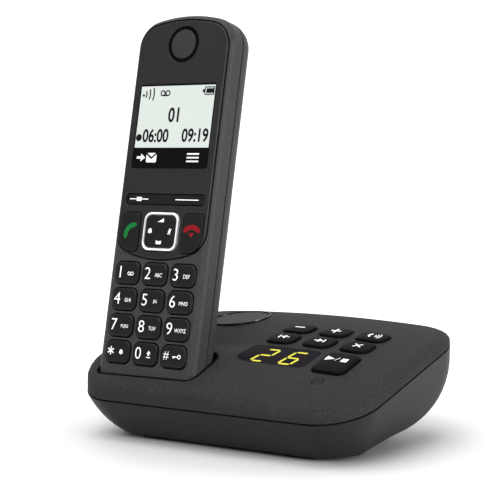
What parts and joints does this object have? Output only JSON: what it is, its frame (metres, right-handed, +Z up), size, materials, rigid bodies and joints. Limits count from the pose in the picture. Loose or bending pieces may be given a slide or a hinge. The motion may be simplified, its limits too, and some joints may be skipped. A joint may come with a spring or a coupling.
{
  "type": "telephone answering machine",
  "caption": "Answering-machine base with a charging well, a counter display and press keys, and a cordless telephone handset standing in it.",
  "frame": {"origin": "bottom centre of the bounding box, on the plane the feet stand on", "axes": "+Z up, +X to the right as the user faces the keys, +Y to the back"},
  "size_m": [0.134, 0.092, 0.1706],
  "materials": {
    "base_plastic": "satin, fine texture",
    "handset_plastic": "satin, fine texture",
    "gloss_panel": "semi-gloss",
    "key_plastic": "satin",
    "rubber_foot": "matt",
    "key_rubber": "matt",
    "board": "matt",
    "steel": "plain",
    "gold": "plated",
    "chrome_rim": "bright",
    "display_glass": "clear lens over a pale grey-green display",
    "counter_glass": "smoked",
    "display_part": "plain",
    "speaker_part": "plain",
    "cell_wrap": "shrink wrap",
    "socket_plastic": "plain"
  },
  "bodies": {
    "base": {"base_circuit_board": "board", "base_key_mat": "key_rubber", "base_lower_shell": "base_plastic", "base_screw_left": "steel", "base_screw_right": "steel", "base_top_shell": "base_plastic", "charge_spring_left": "gold", "charge_spring_right": "gold", "counter_display": "display_part", "counter_window": "counter_glass", "cradle_well": "base_plastic", "foot_back_left": "rubber_foot", "foot_back_right": "rubber_foot", "foot_front_left": "rubber_foot", "foot_front_right": "rubber_foot", "line_socket": "socket_plastic", "power_socket": "socket_plastic", "speaker_disc": "base_plastic", "speaker_driver": "speaker_part"},
    "handset": {"handset_front_shell": "handset_plastic", "handset_rear_shell": "handset_plastic", "handset_upper_panel": "gloss_panel", "display_lens": "display_glass", "display_module": "display_part", "earpiece_disc": "gloss_panel", "earpiece_driver": "speaker_part", "handset_key_mat": "key_rubber", "handset_circuit_board": "board", "battery_cell_left": "cell_wrap", "battery_cell_right": "cell_wrap", "battery_contacts": "gold", "charge_pad_left": "gold", "charge_pad_right": "gold"},
    "nav_key": {"nav_key_frame": "chrome_rim", "nav_key_cap": "key_plastic"},
    "key_1_body": {"key_1": "key_plastic"},
    "key_2_body": {"key_2": "key_plastic"},
    "key_3_body": {"key_3": "key_plastic"},
    "key_4_body": {"key_4": "key_plastic"},
    "key_5_body": {"key_5": "key_plastic"},
    "key_6_body": {"key_6": "key_plastic"},
    "key_7_body": {"key_7": "key_plastic"},
    "key_8_body": {"key_8": "key_plastic"},
    "key_9_body": {"key_9": "key_plastic"},
    "key_star_body": {"key_star": "key_plastic"},
    "key_0_body": {"key_0": "key_plastic"},
    "key_hash_body": {"key_hash": "key_plastic"},
    "key_skip_back_body": {"key_skip_back": "key_plastic"},
    "key_skip_forward_body": {"key_skip_forward": "key_plastic"},
    "key_delete_body": {"key_delete": "key_plastic"},
    "key_volume_down_body": {"key_volume_down": "key_plastic"},
    "key_volume_up_body": {"key_volume_up": "key_plastic"},
    "key_paging_body": {"key_paging": "key_plastic"},
    "key_play_stop_body": {"key_play_stop": "key_plastic"},
    "key_power_body": {"key_power": "key_plastic"},
    "talk_key_body": {"talk_key": "key_plastic"},
    "end_key_body": {"end_key": "key_plastic"},
    "softkey_bar_body": {"softkey_bar": "key_plastic"},
    "battery_cover_body": {"battery_cover": "handset_plastic"},
    "nav_pivot_body": {"nav_pivot": "key_rubber"}
  },
  "joints": [
    {"name": "handset_lift", "type": "slide", "parent": "base", "child": "handset", "axis": [0, 0.1942, 0.981], "range_m": [0, 0.06]},
    {"name": "key_skip_back_press", "type": "slide", "parent": "base", "child": "key_skip_back_body", "axis": [-0.0103, 0.2427, -0.9701], "range_m": [0, 0.0005], "stiffness_N_per_m": 400},
    {"name": "key_skip_forward_press", "type": "slide", "parent": "base", "child": "key_skip_forward_body", "axis": [-0.0313, 0.2425, -0.9696], "range_m": [0, 0.0005], "stiffness_N_per_m": 400},
    {"name": "key_delete_press", "type": "slide", "parent": "base", "child": "key_delete_body", "axis": [-0.0522, 0.2423, -0.9688], "range_m": [0, 0.0005], "stiffness_N_per_m": 400},
    {"name": "key_volume_down_press", "type": "slide", "parent": "base", "child": "key_volume_down_body", "axis": [-0.0104, 0.1951, -0.9807], "range_m": [0, 0.0005], "stiffness_N_per_m": 400},
    {"name": "key_volume_up_press", "type": "slide", "parent": "base", "child": "key_volume_up_body", "axis": [-0.0316, 0.195, -0.9803], "range_m": [0, 0.0005], "stiffness_N_per_m": 400},
    {"name": "key_paging_press", "type": "slide", "parent": "base", "child": "key_paging_body", "axis": [-0.0528, 0.1948, -0.9794], "range_m": [0, 0.0005], "stiffness_N_per_m": 400},
    {"name": "key_play_stop_press", "type": "slide", "parent": "base", "child": "key_play_stop_body", "axis": [-0.0513, 0.3039, -0.9513], "range_m": [0, 0.0005], "stiffness_N_per_m": 400},
    {"name": "key_power_press", "type": "slide", "parent": "base", "child": "key_power_body", "axis": [-0.0504, 0.352, -0.9347], "range_m": [0, 0.0005], "stiffness_N_per_m": 400},
    {"name": "key_1_press", "type": "slide", "parent": "handset", "child": "key_1_body", "axis": [0, 0.981, -0.1942], "range_m": [0, 0.0005], "stiffness_N_per_m": 400},
    {"name": "key_2_press", "type": "slide", "parent": "handset", "child": "key_2_body", "axis": [0, 0.981, -0.1942], "range_m": [0, 0.0005], "stiffness_N_per_m": 400},
    {"name": "key_3_press", "type": "slide", "parent": "handset", "child": "key_3_body", "axis": [0, 0.981, -0.1942], "range_m": [0, 0.0005], "stiffness_N_per_m": 400},
    {"name": "key_4_press", "type": "slide", "parent": "handset", "child": "key_4_body", "axis": [0, 0.981, -0.1942], "range_m": [0, 0.0005], "stiffness_N_per_m": 400},
    {"name": "key_5_press", "type": "slide", "parent": "handset", "child": "key_5_body", "axis": [0, 0.981, -0.1942], "range_m": [0, 0.0005], "stiffness_N_per_m": 400},
    {"name": "key_6_press", "type": "slide", "parent": "handset", "child": "key_6_body", "axis": [0, 0.981, -0.1942], "range_m": [0, 0.0005], "stiffness_N_per_m": 400},
    {"name": "key_7_press", "type": "slide", "parent": "handset", "child": "key_7_body", "axis": [0, 0.981, -0.1942], "range_m": [0, 0.0005], "stiffness_N_per_m": 400},
    {"name": "key_8_press", "type": "slide", "parent": "handset", "child": "key_8_body", "axis": [0, 0.981, -0.1942], "range_m": [0, 0.0005], "stiffness_N_per_m": 400},
    {"name": "key_9_press", "type": "slide", "parent": "handset", "child": "key_9_body", "axis": [0, 0.981, -0.1942], "range_m": [0, 0.0005], "stiffness_N_per_m": 400},
    {"name": "key_star_press", "type": "slide", "parent": "handset", "child": "key_star_body", "axis": [0, 0.981, -0.1942], "range_m": [0, 0.0005], "stiffness_N_per_m": 400},
    {"name": "key_0_press", "type": "slide", "parent": "handset", "child": "key_0_body", "axis": [0, 0.981, -0.1942], "range_m": [0, 0.0005], "stiffness_N_per_m": 400},
    {"name": "key_hash_press", "type": "slide", "parent": "handset", "child": "key_hash_body", "axis": [0, 0.981, -0.1942], "range_m": [0, 0.0005], "stiffness_N_per_m": 400},
    {"name": "talk_key_press", "type": "slide", "parent": "handset", "child": "talk_key_body", "axis": [0, 0.981, -0.1942], "range_m": [0, 0.0005], "stiffness_N_per_m": 400},
    {"name": "end_key_press", "type": "slide", "parent": "handset", "child": "end_key_body", "axis": [0, 0.981, -0.1942], "range_m": [0, 0.0005], "stiffness_N_per_m": 400},
    {"name": "softkey_rock", "type": "hinge", "parent": "handset", "child": "softkey_bar_body", "pos_m": [-0.0326, -0.0245, 0.09592], "axis": [0, 0.1942, 0.981], "range_deg": [-1.4, 1.4], "stiffness_Nm_per_rad": 0.02},
    {"name": "nav_tilt_up_down", "type": "hinge", "parent": "handset", "child": "nav_pivot_body", "pos_m": [-0.0326, -0.02567, 0.0828], "axis": [1, 0, 0], "range_deg": [-2, 2], "stiffness_Nm_per_rad": 0.02},
    {"name": "nav_tilt_left_right", "type": "hinge", "parent": "nav_pivot_body", "child": "nav_key", "pos_m": [-0.0326, -0.02567, 0.0828], "axis": [0, 0.1942, 0.981], "range_deg": [-2, 2], "stiffness_Nm_per_rad": 0.02},
    {"name": "battery_cover_off", "type": "slide", "parent": "handset", "child": "battery_cover_body", "axis": [0, 0.981, -0.1942], "range_m": [0, 0.012]}
  ]
}
